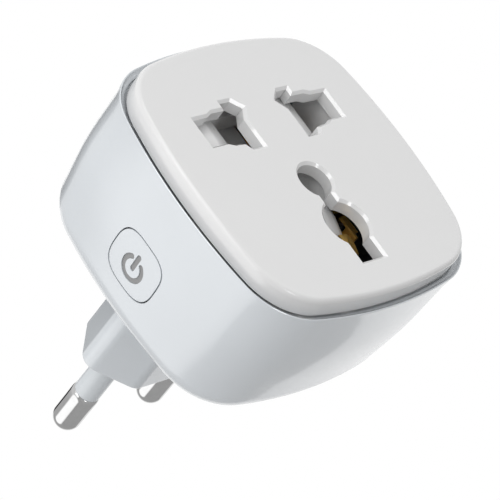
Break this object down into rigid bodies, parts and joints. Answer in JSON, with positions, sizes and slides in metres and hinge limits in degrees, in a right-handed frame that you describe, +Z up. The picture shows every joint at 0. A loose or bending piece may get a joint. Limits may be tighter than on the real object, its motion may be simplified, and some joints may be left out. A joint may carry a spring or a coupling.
{
  "type": "plug-in power meter",
  "caption": "Wall plug energy meter with a universal shuttered socket, side power button, two round sleeved pins and switching and metering boards inside.",
  "frame": {"origin": "centre of the plug's end face, between the two pins, where it meets the wall outlet", "axes": "as plugged into a wall: +Z up, +Y along the pins into the wall, the socket face looks along -Y, the power button is on the -X side"},
  "size_m": [0.0498, 0.0634, 0.0498],
  "materials": {
    "panel": "polished moulded ABS/PC, neutral white",
    "shell": "satin moulded PC, cool white",
    "sleeve": "satin insulating nylon",
    "nickel": "nickel plated brass",
    "icon": "translucent grey light guide",
    "lens": "clear LED lens",
    "inner_plastic": "flame-retardant grey nylon",
    "brass": "sprung contact brass",
    "board": "green solder mask on glass fibre",
    "relay_case": "blue moulded case",
    "transformer_tape": "ferrite core with polyester tape",
    "black_plastic": "black moulded plastic",
    "tin": "tinned steel",
    "steel": "zinc plated steel",
    "copper_alloy": "manganin strip",
    "fuse_body": "ceramic fuse tube"
  },
  "bodies": {
    "housing": {"front_panel": "panel", "body_shell": "shell", "plug_base": "shell", "live_pin": "nickel", "neutral_pin": "nickel", "live_pin_sleeve": "sleeve", "neutral_pin_sleeve": "sleeve", "tact_switch_body": "tin", "switch_board": "board", "status_led": "lens", "shutter_spring": "steel", "contact_carrier": "inner_plastic", "live_contact": "brass", "neutral_contact": "brass", "earth_contact": "brass", "main_board": "board", "relay": "relay_case", "filter_capacitor": "black_plastic", "transformer": "transformer_tape", "varistor": "relay_case", "wifi_board": "board", "wifi_shield": "tin", "metering_chip": "black_plastic", "current_shunt": "copper_alloy", "fuse": "fuse_body", "board_screw_1": "steel", "board_screw_2": "steel", "board_screw_3": "steel", "board_screw_4": "steel", "base_screw_1": "steel", "base_screw_2": "steel", "base_screw_3": "steel", "base_screw_4": "steel"},
    "button": {"power_button": "shell", "button_light_guide": "icon", "tact_switch_actuator": "black_plastic"},
    "shutter": {"safety_shutter": "inner_plastic"}
  },
  "joints": [
    {"name": "button_press", "type": "slide", "parent": "housing", "child": "button", "axis": [1, 0, 0], "range_m": [0, 0.0005], "stiffness_N_per_m": 3000},
    {"name": "shutter_slide", "type": "slide", "parent": "housing", "child": "shutter", "axis": [-1, 0, 0], "range_m": [0, 0.0062], "stiffness_N_per_m": 120, "deforming": ["shutter_spring"]}
  ]
}
